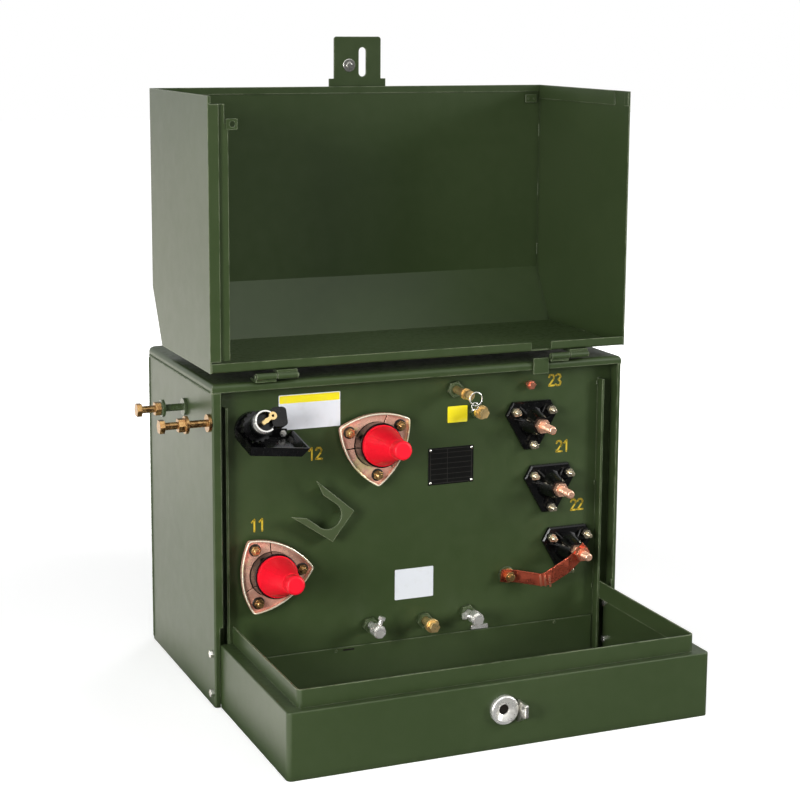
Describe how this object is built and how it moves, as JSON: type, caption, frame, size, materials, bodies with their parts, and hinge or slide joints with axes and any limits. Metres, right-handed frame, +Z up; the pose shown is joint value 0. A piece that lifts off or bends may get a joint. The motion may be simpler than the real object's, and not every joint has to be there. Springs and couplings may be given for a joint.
{
  "type": "pad-mounted distribution transformer",
  "caption": "Box-shaped oil-filled transformer cabinet with a hinged hood swung open over the tank, showing bushings, a fuse holder and a ground strap behind a low sill.",
  "frame": {"origin": "middle of the tank floor's underside, on the pad", "axes": "+Z up from the pad, +X to the right as seen from the front, the front faces -Y"},
  "size_m": [0.968, 0.871, 1.259],
  "materials": {
    "green_paint": "satin",
    "zinc_steel": "satin",
    "gold_zinc": "satin",
    "red_cap": "gloss",
    "black_moulding": "satin",
    "copper": "polished",
    "brass": "polished",
    "data_plate": "satin",
    "core_and_oil": "matte"
  },
  "bodies": {
    "tank": {"tank_floor": "green_paint", "tank_left_wall": "green_paint", "tank_right_wall": "green_paint", "tank_rear_wall": "green_paint", "tank_cover": "green_paint", "tank_front_plate": "green_paint", "lower_skirt": "green_paint", "sill": "green_paint", "hood_catch": "green_paint", "tank_hinge_leaves": "green_paint", "parking_stand": "green_paint", "plate_bosses": "green_paint", "core_and_oil": "core_and_oil", "sill_bolts": "zinc_steel", "lock_disc": "zinc_steel", "lock_eye": "zinc_steel", "lifting_bolts": "gold_zinc", "hinge_pins": "zinc_steel", "hv_upper_well": "black_moulding", "hv_upper_clamp": "gold_zinc", "hv_upper_cap": "red_cap", "hv_lower_well": "black_moulding", "hv_lower_clamp": "gold_zinc", "hv_lower_cap": "red_cap", "hv_clamp_bolts": "gold_zinc", "lv_top_bushing": "black_moulding", "lv_middle_bushing": "black_moulding", "lv_bottom_bushing": "black_moulding", "lv_studs": "copper", "lv_clamp_bolts": "zinc_steel", "ground_strap": "copper", "strap_fastening": "zinc_steel", "strap_nut": "copper", "fuse_housing": "black_moulding", "fuse_collar": "zinc_steel", "fuse_eye": "brass", "drip_tray": "black_moulding", "relief_valve": "brass", "valve_pull": "zinc_steel", "fill_plug": "brass", "drain_plug": "brass", "ground_connectors": "zinc_steel", "earth_bolt": "copper", "data_plate": "data_plate"},
    "hood": {"hood_wrapper": "green_paint", "hood_left_side": "green_paint", "hood_right_side": "green_paint", "hood_hinge_leaves": "green_paint", "hasp_plate": "green_paint", "hasp_bolt": "zinc_steel"}
  },
  "joints": [
    {"name": "hood_hinge", "type": "hinge", "parent": "tank", "child": "hood", "pos_m": [0, -0.235, 0.637], "axis": [1, 0, 0], "range_deg": [0, 180]}
  ]
}
